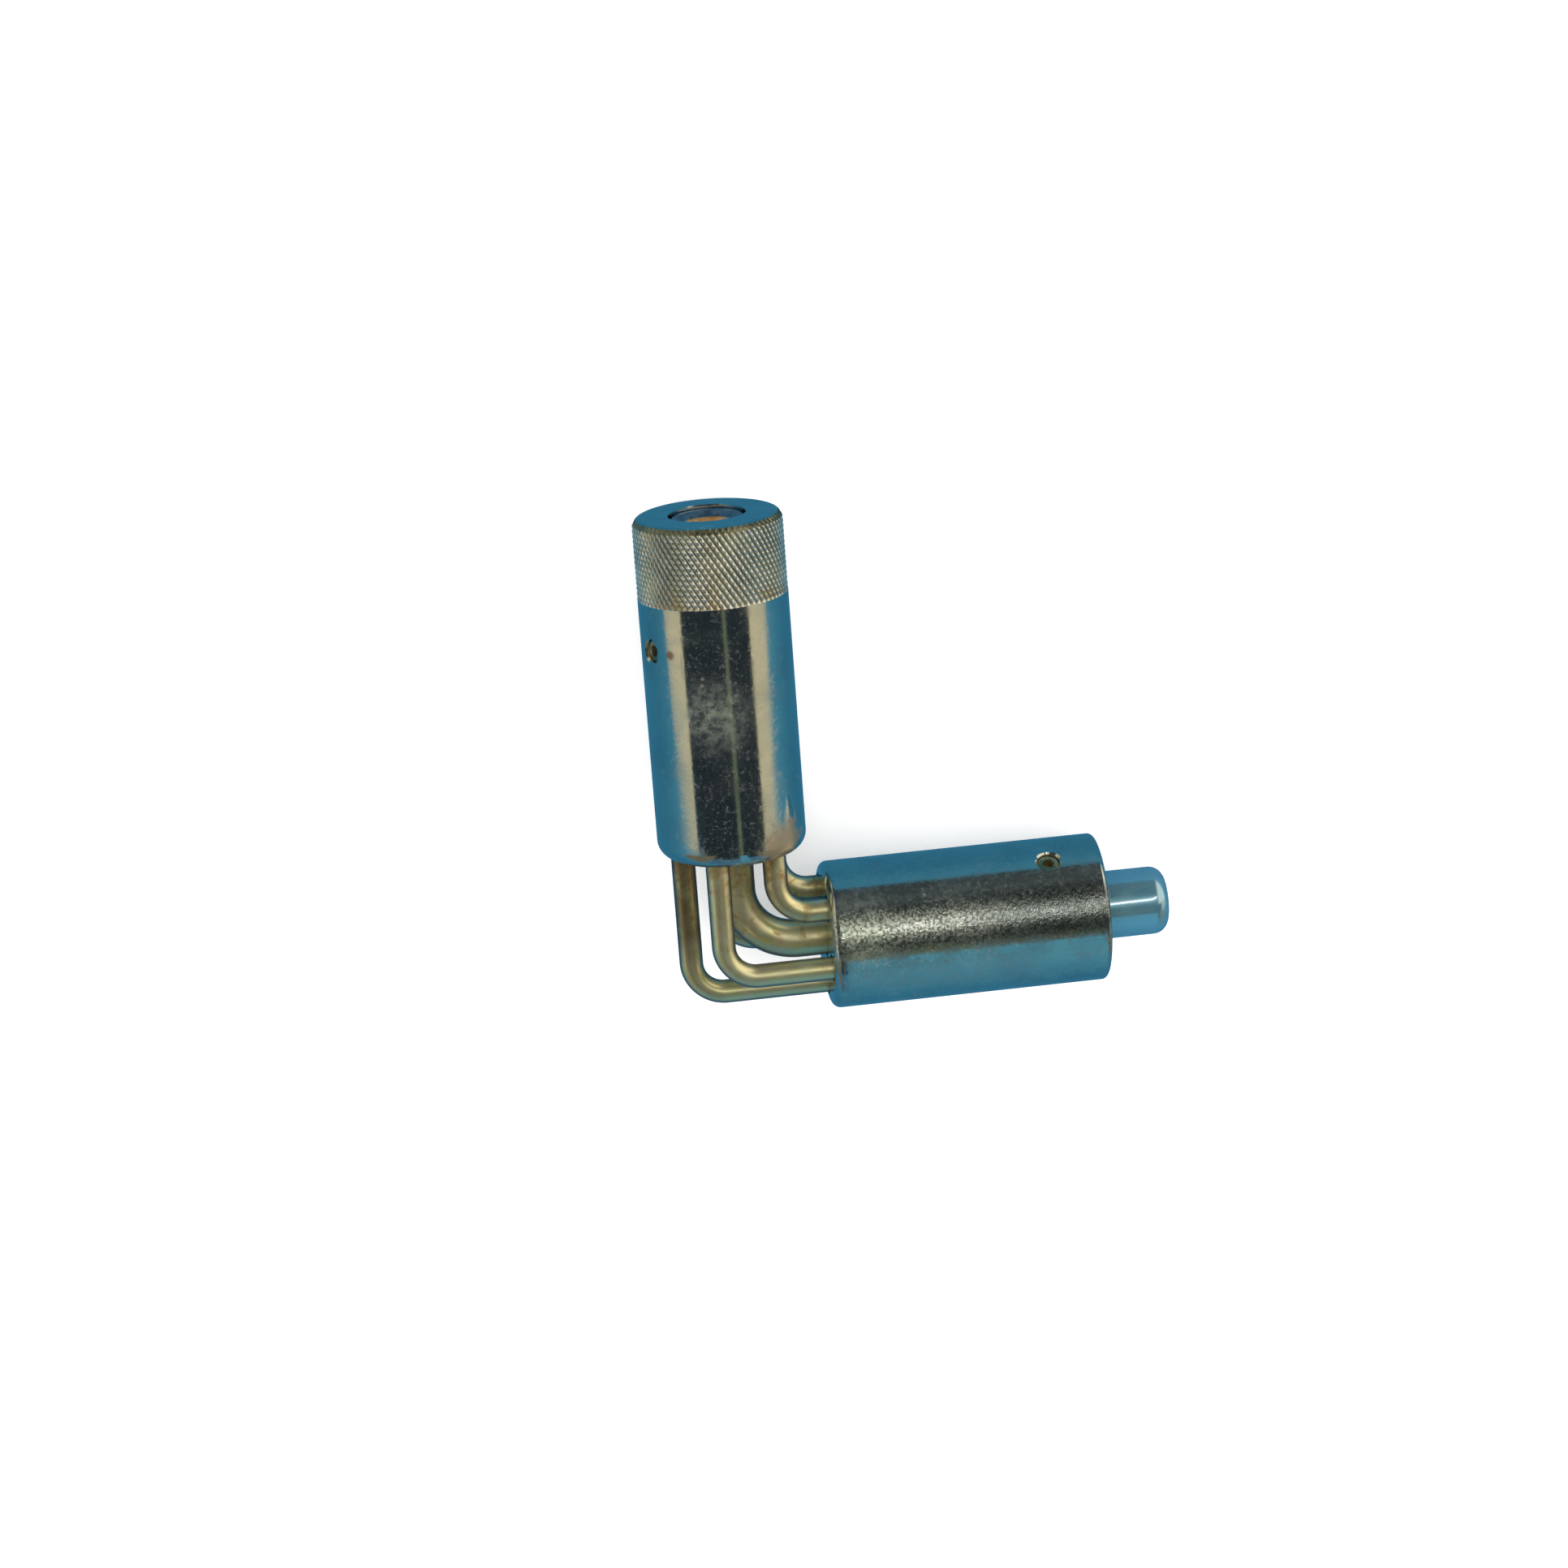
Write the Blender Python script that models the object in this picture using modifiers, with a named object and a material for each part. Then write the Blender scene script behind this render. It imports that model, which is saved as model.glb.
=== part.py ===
"""Right-angle drive for a power drill: two barrels joined through a square corner by bent steel pins.

It lies flat, as it would on a bench. +X points out along the input barrel, +Y out along the
output barrel and +Z up. The origin is under the middle of the part, on the surface it lies on.
Both barrels turn about axes that cross at the elbow. A thick bent core pin holds them there, and
a ring of thinner L-shaped drive pins carries the turn from one barrel to the other.
"""

import math

import bmesh
import bpy
from mathutils import Vector

MM = 0.001

# Driving dimensions
BARREL_RADIUS = 10.32 * MM
OUTPUT_LENGTH = 47.8 * MM
INPUT_LENGTH = 38.9 * MM
PIN_COUNT = 5
PIN_RADIUS = 1.65 * MM
PIN_BEND_RADIUS = 4.65 * MM  # at the pin's centre line
PIN_LEG = 30.0 * MM  # from the corner of the centre line to each end
FIRST_PIN_ANGLE = math.radians(42.1)
CORE_RADIUS = 2.7 * MM
CORE_BEND_RADIUS = 8.15 * MM
OUTER_WALL = 1.39 * MM  # left between a pin's bore and the outside of the barrel
OUTPUT_STRAIGHT = 2.15 * MM  # straight pin showing between the bend and each barrel
INPUT_STRAIGHT = 0.37 * MM
OUTPUT_RIM_ROUND = 1.33 * MM
OUTPUT_ELBOW_ROUND = 2.3 * MM
INPUT_RIM_ROUND = 0.7 * MM
INPUT_ELBOW_ROUND = 1.2 * MM
SHANK_RADIUS = 4.76 * MM
SHANK_LENGTH = 9.5 * MM
SHANK_END_ROUND = 2.07 * MM

SHANK_TENON = 5.3 * MM  # length of the spigot that plugs the input barrel's bore

# The screw that keeps each barrel on the core pin
OUTPUT_SCREW_ANGLE = math.radians(-157.8)
INPUT_SCREW_ANGLE = math.radians(28.2)
SCREW_RADIUS = 1.5 * MM
SCREW_TIP_RADIUS = 0.9 * MM
SCREW_SUNK = 0.6 * MM  # below the outside of the barrel
SCREW_COUNTERSINK = 0.4 * MM
SCREW_KEY_FLATS = 1.5 * MM
SCREW_KEY_DEPTH = 1.4 * MM
GROOVE_DEPTH = 0.75 * MM
CORE_NOSE = 0.8 * MM  # core pin left beyond its groove

# The socket for a screwdriver bit, in the outer end of the output barrel
BIT_FLATS = 6.35 * MM
BIT_PLAY = 0.15 * MM
SOCKET_RADIUS = 5.0 * MM
SOCKET_LENGTH = 11.0 * MM
SOCKET_SUNK = 0.5 * MM
SOCKET_COUNTERSINK = 1.0 * MM
MAGNET_RADIUS = 4.0 * MM
MAGNET_LENGTH = 2.0 * MM

FIT_GAP = 0.3 * MM  # between pieces that fit together
END_PLAY = 0.6 * MM  # beyond the furthest that a pin's end reaches
OVERSHOOT = 1.0 * MM  # by which a cutter passes a face
SEAT_WEB = 1.1 * MM  # metal left between the core's bore and the socket's seat

BARREL_SIDES = 64
BORE_SIDES = 24
SMALL_SIDES = 20
ROUND_STEPS = 4
BEND_STEPS = 12
PIN_SECTION = 6  # bevel resolution, which gives a pin 16 sides
MERGE = 0.00001

# Sizes that follow
PITCH_RADIUS = BARREL_RADIUS - OUTER_WALL - PIN_RADIUS - FIT_GAP
OUTPUT_FACE = PITCH_RADIUS + PIN_BEND_RADIUS + OUTPUT_STRAIGHT  # from the elbow to the barrel
INPUT_FACE = PITCH_RADIUS + PIN_BEND_RADIUS + INPUT_STRAIGHT
OUTPUT_END = OUTPUT_FACE + OUTPUT_LENGTH
INPUT_END = INPUT_FACE + INPUT_LENGTH
SHANK_END = INPUT_END + SHANK_LENGTH
PIN_BORE_END = PITCH_RADIUS + PIN_LEG + END_PLAY
CORE_BORE_RADIUS = CORE_RADIUS + FIT_GAP
GROOVE_HALF_WIDTH = SCREW_TIP_RADIUS + FIT_GAP
SOCKET_TOP = OUTPUT_END - SOCKET_SUNK
MAGNET_TOP = SOCKET_TOP - SOCKET_LENGTH - FIT_GAP
SOCKET_BORE_BOTTOM = MAGNET_TOP - MAGNET_LENGTH - FIT_GAP
OUTPUT_CORE_BORE_END = SOCKET_BORE_BOTTOM - SEAT_WEB
OUTPUT_CORE_END = OUTPUT_CORE_BORE_END - FIT_GAP
OUTPUT_SCREW_AT = OUTPUT_CORE_END - CORE_NOSE - GROOVE_HALF_WIDTH
TENON_START = INPUT_END - SHANK_TENON
INPUT_CORE_END = TENON_START - FIT_GAP
INPUT_SCREW_AT = INPUT_CORE_END - CORE_NOSE - GROOVE_HALF_WIDTH
ELBOW = Vector((
    (BARREL_RADIUS - SHANK_END) / 2,
    (BARREL_RADIUS - OUTPUT_END) / 2,
    BARREL_RADIUS,
))


def clear_scene():
    for obj in list(bpy.data.objects):
        bpy.data.objects.remove(obj, do_unlink=True)


def new_collection(name):
    collection = bpy.data.collections.new(name)
    bpy.context.scene.collection.children.link(collection)
    return collection


def new_material(name, colour, roughness):
    material = bpy.data.materials.new(name)
    material.use_nodes = True
    shader = material.node_tree.nodes["Principled BSDF"]
    shader.inputs["Base Color"].default_value = (*colour, 1.0)
    shader.inputs["Roughness"].default_value = roughness
    shader.inputs["Metallic"].default_value = 1.0
    return material


def new_frame(name, location, rotation=(0.0, 0.0, 0.0), parent=None):
    """An empty that pieces are placed from."""
    empty = bpy.data.objects.new(name, None)
    empty.location = location
    empty.rotation_euler = rotation
    empty.parent = parent
    PARTS.objects.link(empty)
    return empty


def place(obj, parent, location=(0.0, 0.0, 0.0), rotation=(0.0, 0.0, 0.0)):
    obj.parent = parent
    obj.location = location
    obj.rotation_euler = rotation
    return obj


def finish_piece(obj, colour, roughness):
    obj.data.materials.append(new_material(obj.name + "_metal", colour, roughness))
    return obj


def arc(centre_radius, centre_height, size, start, end):
    """Points of a rounded edge, from one angle to another in degrees, counted from outwards to up."""
    points = []
    for step in range(ROUND_STEPS + 1):
        angle = math.radians(start + (end - start) * step / ROUND_STEPS)
        points.append((
            centre_radius + size * math.cos(angle),
            centre_height + size * math.sin(angle),
        ))
    return points


def turned(name, profile, sides, collection):
    """A solid of revolution about local Z. The profile is (radius, height) from top to bottom."""
    mesh = bpy.data.meshes.new(name)
    corners = [(radius, 0.0, height) for radius, height in profile]
    mesh.from_pydata(corners, [(i, i + 1) for i in range(len(corners) - 1)], [])
    obj = bpy.data.objects.new(name, mesh)
    collection.objects.link(obj)
    screw = obj.modifiers.new("Turn", 'SCREW')
    screw.axis = 'Z'
    screw.steps = sides
    screw.render_steps = sides
    screw.use_merge_vertices = True
    screw.merge_threshold = MERGE
    return obj


def as_cutter(obj):
    obj.hide_render = True
    obj.display_type = 'WIRE'
    return obj


def round_cutter(name, radius, bottom, top, sides=BORE_SIDES):
    """A plain drill along local Z."""
    profile = [(0.0, top), (radius, top), (radius, bottom), (0.0, bottom)]
    return as_cutter(turned(name, profile, sides, CUTTERS))


def hex_cutter(name, flats, bottom, top):
    """A hexagonal broach along local Z."""
    mesh = bpy.data.meshes.new(name)
    shape = bmesh.new()
    corner_radius = flats / 2 / math.cos(math.pi / 6)
    bmesh.ops.create_cone(
        shape, cap_ends=True, segments=6,
        radius1=corner_radius, radius2=corner_radius, depth=top - bottom,
    )
    bmesh.ops.translate(shape, verts=shape.verts, vec=(0.0, 0.0, (top + bottom) / 2))
    shape.to_mesh(mesh)
    shape.free()
    obj = bpy.data.objects.new(name, mesh)
    CUTTERS.objects.link(obj)
    return as_cutter(obj)


def cut(obj, cutter):
    boolean = obj.modifiers.new(cutter.name, 'BOOLEAN')
    boolean.operation = 'DIFFERENCE'
    boolean.object = cutter
    boolean.solver = 'EXACT'


def pin_places():
    """Where each drive pin crosses a barrel's end: its offset towards the elbow's inside, and its height."""
    places = []
    for index in range(PIN_COUNT):
        angle = FIRST_PIN_ANGLE + math.tau * index / PIN_COUNT
        places.append((PITCH_RADIUS * math.cos(angle), PITCH_RADIUS * math.sin(angle)))
    return places


def bent_rod(name, radius, bend_radius, offset, height, output_end, input_end):
    """A round rod with one square bend, lying level. Its legs run out along +Y and +X."""
    curve = bpy.data.curves.new(name, 'CURVE')
    curve.dimensions = '3D'
    curve.bevel_depth = radius
    curve.bevel_resolution = PIN_SECTION
    curve.use_fill_caps = True
    centre = offset + bend_radius
    route = [(offset, output_end)]
    for step in range(BEND_STEPS + 1):
        angle = math.pi + math.pi / 2 * step / BEND_STEPS
        route.append((centre + bend_radius * math.cos(angle), centre + bend_radius * math.sin(angle)))
    route.append((input_end, offset))
    spline = curve.splines.new('POLY')
    spline.points.add(len(route) - 1)
    for point, (x, y) in zip(spline.points, route):
        point.co = (x, y, height, 1.0)
    obj = bpy.data.objects.new(name, curve)
    PARTS.objects.link(obj)
    return obj


def curve_to_mesh(curve_object):
    """The same rod as a closed mesh that a cutter can work on."""
    bpy.context.view_layer.update()
    evaluated = curve_object.evaluated_get(bpy.context.evaluated_depsgraph_get())
    mesh = bpy.data.meshes.new_from_object(evaluated)
    shape = bmesh.new()
    shape.from_mesh(mesh)
    bmesh.ops.remove_doubles(shape, verts=shape.verts, dist=MERGE)
    shape.to_mesh(mesh)
    shape.free()
    name = curve_object.name
    parent = curve_object.parent
    matrix = curve_object.matrix_world.copy()
    bpy.data.objects.remove(curve_object, do_unlink=True)
    obj = bpy.data.objects.new(name, mesh)
    PARTS.objects.link(obj)
    obj.parent = parent
    bpy.context.view_layer.update()
    obj.matrix_world = matrix
    return obj


def drill_pin_bores(barrel, frame, face, height_sign):
    """The ring of blind bores that the drive pins slide in, from the barrel's elbow end."""
    for number, (offset, height) in enumerate(pin_places(), 1):
        drill = round_cutter(
            f"{barrel.name}_pin_bore_{number}", PIN_RADIUS + FIT_GAP, face - OVERSHOOT, PIN_BORE_END
        )
        place(drill, frame, (offset, height_sign * height, 0.0))
        cut(barrel, drill)


def drill_core_bore(barrel, frame, face, end):
    drill = round_cutter(barrel.name + "_core_bore", CORE_BORE_RADIUS, face - OVERSHOOT, end)
    cut(barrel, place(drill, frame))


def radial(angle):
    """The turn that points local Z outwards at an angle about the barrel's axis."""
    return (0.0, math.pi / 2, angle)


def drill_screw_hole(barrel, frame, station, angle):
    """The radial hole for a retaining screw, with a countersunk mouth."""
    hole = SCREW_RADIUS + FIT_GAP
    top = BARREL_RADIUS + OVERSHOOT
    profile = [
        (0.0, top),
        (hole + SCREW_COUNTERSINK + OVERSHOOT, top),
        (hole, BARREL_RADIUS - SCREW_COUNTERSINK),
        (hole, CORE_BORE_RADIUS / 2),
        (0.0, CORE_BORE_RADIUS / 2),
    ]
    drill = as_cutter(turned(barrel.name + "_screw_hole", profile, BORE_SIDES, CUTTERS))
    cut(barrel, place(drill, frame, (0.0, 0.0, station), radial(angle)))


def make_set_screw(name, frame, station, angle):
    """A headless screw whose plain tip runs in the groove of the core pin."""
    top = BARREL_RADIUS - SCREW_SUNK
    shoulder = CORE_BORE_RADIUS + 2 * FIT_GAP
    tip = CORE_RADIUS - GROOVE_DEPTH + FIT_GAP
    edge = SCREW_COUNTERSINK / 2
    profile = [
        (0.0, top),
        (SCREW_RADIUS - edge, top),
        (SCREW_RADIUS, top - edge),
        (SCREW_RADIUS, shoulder),
        (SCREW_TIP_RADIUS, shoulder),
        (SCREW_TIP_RADIUS, tip),
        (0.0, tip),
    ]
    screw = turned(name, profile, SMALL_SIDES, PARTS)
    place(screw, frame, (0.0, 0.0, station), radial(angle))
    key = hex_cutter(name + "_key", SCREW_KEY_FLATS, top - SCREW_KEY_DEPTH, top + OVERSHOOT)
    cut(screw, place(key, frame, (0.0, 0.0, station), radial(angle)))
    return finish_piece(screw, (0.24, 0.22, 0.18), 0.4)


def barrel_profile(face, end, elbow_round, rim_round):
    profile = [(0.0, end)]
    profile += arc(BARREL_RADIUS - rim_round, end - rim_round, rim_round, 90, 0)
    profile += arc(BARREL_RADIUS - elbow_round, face + elbow_round, elbow_round, 0, -90)
    profile.append((0.0, face))
    return profile


def make_output_barrel():
    profile = barrel_profile(OUTPUT_FACE, OUTPUT_END, OUTPUT_ELBOW_ROUND, OUTPUT_RIM_ROUND)
    barrel = place(turned("output_barrel", profile, BARREL_SIDES, PARTS), OUTPUT_AXIS)
    drill_pin_bores(barrel, OUTPUT_AXIS, OUTPUT_FACE, -1)
    drill_core_bore(barrel, OUTPUT_AXIS, OUTPUT_FACE, OUTPUT_CORE_BORE_END)
    drill_screw_hole(barrel, OUTPUT_AXIS, OUTPUT_SCREW_AT, OUTPUT_SCREW_ANGLE)
    seat = round_cutter(
        "output_barrel_seat", SOCKET_RADIUS + FIT_GAP, SOCKET_BORE_BOTTOM, OUTPUT_END + OVERSHOOT
    )
    cut(barrel, place(seat, OUTPUT_AXIS))
    return finish_piece(barrel, (0.36, 0.38, 0.36), 0.22)


def make_input_barrel():
    profile = barrel_profile(INPUT_FACE, INPUT_END, INPUT_ELBOW_ROUND, INPUT_RIM_ROUND)
    barrel = place(turned("input_barrel", profile, BARREL_SIDES, PARTS), INPUT_AXIS)
    drill_pin_bores(barrel, INPUT_AXIS, INPUT_FACE, 1)
    drill_core_bore(barrel, INPUT_AXIS, INPUT_FACE, INPUT_END + OVERSHOOT)
    drill_screw_hole(barrel, INPUT_AXIS, INPUT_SCREW_AT, INPUT_SCREW_ANGLE)
    return finish_piece(barrel, (0.36, 0.38, 0.36), 0.22)


def make_drive_shank():
    """The round shank that the drill's chuck grips, with a tenon that plugs the barrel's bore."""
    shoulder = INPUT_END + FIT_GAP
    profile = [(0.0, SHANK_END)]
    profile += arc(SHANK_RADIUS - SHANK_END_ROUND, SHANK_END - SHANK_END_ROUND, SHANK_END_ROUND, 90, 0)
    profile += [
        (SHANK_RADIUS, shoulder),
        (CORE_BORE_RADIUS - FIT_GAP, shoulder),
        (CORE_BORE_RADIUS - FIT_GAP, TENON_START),
        (0.0, TENON_START),
    ]
    shank = place(turned("drive_shank", profile, BARREL_SIDES, PARTS), INPUT_AXIS)
    return finish_piece(shank, (0.42, 0.45, 0.46), 0.2)


def make_bit_socket():
    """The hardened sleeve that holds a hexagonal bit."""
    bottom = SOCKET_TOP - SOCKET_LENGTH
    edge = BIT_PLAY
    profile = [
        (0.0, SOCKET_TOP),
        (SOCKET_RADIUS - edge, SOCKET_TOP),
        (SOCKET_RADIUS, SOCKET_TOP - edge),
        (SOCKET_RADIUS, bottom),
        (0.0, bottom),
    ]
    socket = place(turned("bit_socket", profile, BORE_SIDES * 2, PARTS), OUTPUT_AXIS)
    flats = BIT_FLATS + BIT_PLAY
    hole = hex_cutter("bit_socket_hexagon", flats, bottom - OVERSHOOT, SOCKET_TOP + OVERSHOOT)
    cut(socket, place(hole, OUTPUT_AXIS))
    mouth = flats / 2 + SOCKET_COUNTERSINK
    cone = [
        (0.0, SOCKET_TOP + OVERSHOOT),
        (mouth + OVERSHOOT, SOCKET_TOP + OVERSHOOT),
        (mouth - SOCKET_COUNTERSINK, SOCKET_TOP - SOCKET_COUNTERSINK),
        (0.0, SOCKET_TOP - SOCKET_COUNTERSINK),
    ]
    countersink = as_cutter(turned("bit_socket_countersink", cone, BORE_SIDES * 2, CUTTERS))
    cut(socket, place(countersink, OUTPUT_AXIS))
    return finish_piece(socket, (0.45, 0.36, 0.2), 0.35)


def make_bit_magnet():
    profile = [
        (0.0, MAGNET_TOP),
        (MAGNET_RADIUS, MAGNET_TOP),
        (MAGNET_RADIUS, MAGNET_TOP - MAGNET_LENGTH),
        (0.0, MAGNET_TOP - MAGNET_LENGTH),
    ]
    magnet = place(turned("bit_magnet", profile, BORE_SIDES, PARTS), OUTPUT_AXIS)
    return finish_piece(magnet, (0.3, 0.3, 0.32), 0.4)


def make_core_pin():
    """The thick bent pin on both axes, with a groove near each end for the set screw's tip."""
    rod = bent_rod("core_pin", CORE_RADIUS, CORE_BEND_RADIUS, 0.0, 0.0, OUTPUT_CORE_END, INPUT_CORE_END)
    core = curve_to_mesh(place(rod, ELBOW_FRAME))
    inner = CORE_RADIUS - GROOVE_DEPTH
    outer = CORE_RADIUS + OVERSHOOT
    for frame, station in ((OUTPUT_AXIS, OUTPUT_SCREW_AT), (INPUT_AXIS, INPUT_SCREW_AT)):
        low = station - GROOVE_HALF_WIDTH
        high = station + GROOVE_HALF_WIDTH
        ring = [(inner, high), (outer, high), (outer, low), (inner, low), (inner, high)]
        groove = as_cutter(turned(frame.name + "_groove", ring, BORE_SIDES, CUTTERS))
        cut(core, place(groove, frame))
    return finish_piece(core, (0.5, 0.42, 0.24), 0.3)


def make_drive_pins():
    for number, (offset, height) in enumerate(pin_places(), 1):
        leg_end = offset + PIN_LEG
        pin = bent_rod(
            f"drive_pin_{number}", PIN_RADIUS, PIN_BEND_RADIUS, offset, height, leg_end, leg_end
        )
        finish_piece(place(pin, ELBOW_FRAME), (0.5, 0.42, 0.24), 0.3)


clear_scene()
PARTS = new_collection("right_angle_drill_drive")
CUTTERS = new_collection("cutters")
ELBOW_FRAME = new_frame("elbow", ELBOW)
OUTPUT_AXIS = new_frame("output_axis", (0.0, 0.0, 0.0), (-math.pi / 2, 0.0, 0.0), ELBOW_FRAME)
INPUT_AXIS = new_frame("input_axis", (0.0, 0.0, 0.0), (math.pi / 2, 0.0, math.pi / 2), ELBOW_FRAME)
make_output_barrel()
make_input_barrel()
make_drive_shank()
make_bit_socket()
make_bit_magnet()
make_set_screw("output_set_screw", OUTPUT_AXIS, OUTPUT_SCREW_AT, OUTPUT_SCREW_ANGLE)
make_set_screw("input_set_screw", INPUT_AXIS, INPUT_SCREW_AT, INPUT_SCREW_ANGLE)
make_core_pin()
make_drive_pins()
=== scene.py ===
import math

import bmesh
import bpy
import numpy as np
from mathutils import Euler, Matrix, Vector


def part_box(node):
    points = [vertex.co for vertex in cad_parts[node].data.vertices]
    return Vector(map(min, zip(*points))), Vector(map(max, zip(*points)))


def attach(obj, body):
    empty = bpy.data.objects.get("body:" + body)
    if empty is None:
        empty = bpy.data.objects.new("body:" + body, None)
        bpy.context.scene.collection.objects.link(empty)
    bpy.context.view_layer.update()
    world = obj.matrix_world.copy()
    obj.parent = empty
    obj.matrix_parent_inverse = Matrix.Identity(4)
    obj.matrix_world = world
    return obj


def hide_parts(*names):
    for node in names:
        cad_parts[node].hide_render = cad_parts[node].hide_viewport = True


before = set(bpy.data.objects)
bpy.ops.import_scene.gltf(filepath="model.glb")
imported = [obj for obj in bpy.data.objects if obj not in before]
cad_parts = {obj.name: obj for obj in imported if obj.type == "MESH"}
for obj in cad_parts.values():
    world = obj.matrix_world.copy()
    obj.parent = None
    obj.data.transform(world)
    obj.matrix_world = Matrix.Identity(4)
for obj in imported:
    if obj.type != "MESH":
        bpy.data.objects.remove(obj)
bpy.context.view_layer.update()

# Right-angle drill drive: two plated barrels joined square by bent gold-zinc pins.
# Lengths are metres. Each barrel is shaped about its own local Z, from the elbow outwards.
# Noise scales are features per metre.

MM = 0.001


# ---------------------------------------------------------------- sizes read from the frame

def middle(node):
    low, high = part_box(node)
    return (low + high) / 2


def half_height(node):
    low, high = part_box(node)
    return (high.z - low.z) / 2


BARREL_RADIUS = half_height("output_barrel")
ELBOW = Vector((middle("output_barrel").x, middle("input_barrel").y, middle("core_pin").z))
OUTPUT_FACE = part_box("output_barrel")[0].y - ELBOW.y
OUTPUT_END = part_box("output_barrel")[1].y - ELBOW.y
INPUT_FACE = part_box("input_barrel")[0].x - ELBOW.x
INPUT_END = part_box("input_barrel")[1].x - ELBOW.x
SHANK_TENON_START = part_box("drive_shank")[0].x - ELBOW.x
SHANK_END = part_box("drive_shank")[1].x - ELBOW.x
SHANK_RADIUS = half_height("drive_shank")
CORE_RADIUS = half_height("core_pin")
PIN_RADIUS = half_height("drive_pin_1")
SOCKET_RADIUS = half_height("bit_socket")
SOCKET_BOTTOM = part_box("bit_socket")[0].y - ELBOW.y
SOCKET_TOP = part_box("bit_socket")[1].y - ELBOW.y
MAGNET_RADIUS = half_height("bit_magnet")
MAGNET_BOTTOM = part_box("bit_magnet")[0].y - ELBOW.y
MAGNET_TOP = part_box("bit_magnet")[1].y - ELBOW.y
DRIVE_PINS = sorted(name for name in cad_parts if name.startswith("drive_pin_"))

# Local Z runs out along each barrel
OUTPUT_FRAME = Matrix.Translation(ELBOW) @ Euler((-math.pi / 2, 0, 0)).to_matrix().to_4x4()
INPUT_FRAME = Matrix.Translation(ELBOW) @ Euler((math.pi / 2, 0, math.pi / 2)).to_matrix().to_4x4()
ELBOW_FRAME = Matrix.Translation(ELBOW)

# ---------------------------------------------------------------- sizes of the finish work

FIT_GAP = 0.3 * MM
OVERSHOOT = 1.0 * MM
PIN_BEND_RADIUS = 4.65 * MM
CORE_BEND_RADIUS = 8.15 * MM
BEND_FLATTENING = 0.03
PIN_END_CHAMFER = 0.35 * MM
OUTPUT_RIM_ROUND = 1.33 * MM
OUTPUT_ELBOW_ROUND = 2.3 * MM
INPUT_RIM_ROUND = 0.7 * MM
INPUT_ELBOW_ROUND = 1.2 * MM
SHANK_END_ROUND = 2.07 * MM
KNURL_TOP_GAP = 0.9 * MM
KNURL_LENGTH = 10.3 * MM
KNURL_BOTTOM = OUTPUT_END - KNURL_TOP_GAP - KNURL_LENGTH
KNURL_RIM_ANGLE = 58
KNURL_TEETH = 72
KNURL_HELIX = math.radians(32)
KNURL_DEEP_CUT = 0.26 * MM
KNURL_CROSS_CUT = 0.17 * MM
KNURL_RUN_OUT = 0.15 * MM
KNURL_ROW = 0.1 * MM
KNURL_EDGE_SHARE = 0.15
KNURL_SIDES_PER_TOOTH = 10
BAND_WALL = 0.8 * MM
BAND_OVERLAP = 0.25 * MM
SCREW_RADIUS = 1.5 * MM
SCREW_SUNK = 0.6 * MM
SCREW_TIP_RADIUS = 0.9 * MM
SCREW_TIP_START = CORE_RADIUS + 0.9 * MM
SCREW_EDGE = 0.2 * MM
SCREW_KEY_FLATS = 1.5 * MM
SCREW_KEY_DEPTH = 1.4 * MM
SCREW_HOLE_COUNTERSINK = 0.35 * MM
SCREW_HOLE_PLAY = 0.06 * MM
GROOVE_DEPTH = 0.75 * MM
GROOVE_HALF_WIDTH = 1.2 * MM
CORE_NOSE = 0.8 * MM
HEX_FLATS = 6.5 * MM
SOCKET_COUNTERSINK = 1.0 * MM
SEAT_COUNTERSINK = 0.15 * MM
SOCKET_EDGE = 0.2 * MM
MAGNET_EDGE = 0.3 * MM
SHANK_SHOULDER = INPUT_END + 0.1 * MM
PIN_BORE_PAST_END = 1.0 * MM

PLATE_LUMP_DEPTH = 0.006 * MM
PLATE_GRAIN_DEPTH = 0.045 * MM
OUTPUT_STAIN_SPOT = Vector((6.5 * MM, -8.0 * MM, OUTPUT_FACE + 2.5 * MM))
RUST_SPOT = Vector((-7.1 * MM, -7.5 * MM, 44.1 * MM))
# Where the plates are hazed dull, with a pale tint that paints glare
OUTPUT_GLARE_HAZE_SPOT = Vector((-2.0 * MM, -10.1 * MM, 35.5 * MM))
INPUT_GLARE_HAZE_SPOT = Vector((3.2 * MM, 9.8 * MM, INPUT_FACE + 4 * MM))
INPUT_STAIN_SPOT = Vector((0, -BARREL_RADIUS, INPUT_FACE))

FINE_SIDES = 256
BORE_SIDES = 96
ROD_SIDES = 48
ROUND_STEPS = 14
SMALL_ROUND_STEPS = 5
SIDE_STEPS = 40
SHANK_STEPS = 12
LEG_STATIONS = 90
BEND_STATIONS = 49

FLOOR_HALF_SIZE = 4.0
FLOOR_DROP = 0.05 * MM

# Towards (x, y)
RIGHT, LEFT, FRONT, BACK = (1, 0), (-1, 0), (0, -1), (0, 1)

# The camera: its angles in degrees, its place from the elbow, and its lens in millimetres
VIEW_AZIMUTH = 5.98
VIEW_ELEVATION = 15.89
VIEW_LEAN = 4.23
VIEW_FROM_ELBOW = Vector((-51.26, 183.8, 563.84)) * MM
LENS_LENGTH = 97.9
SENSOR_WIDTH = 36


# ---------------------------------------------------------------- shaping

def round_edge(middle_radius, middle_height, size, start, end, steps=ROUND_STEPS):
    """Points round an edge between two angles in degrees, counted from outwards to upwards."""
    angles = np.radians(np.linspace(start, end, steps + 1))
    return [(middle_radius + size * math.cos(a), middle_height + size * math.sin(a)) for a in angles]


def straight(start, end, steps):
    """Points along one straight stretch, without its ends."""
    shares = np.linspace(0, 1, steps + 1)[1:-1]
    return [(start[0] + (end[0] - start[0]) * s, start[1] + (end[1] - start[1]) * s) for s in shares]


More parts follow.
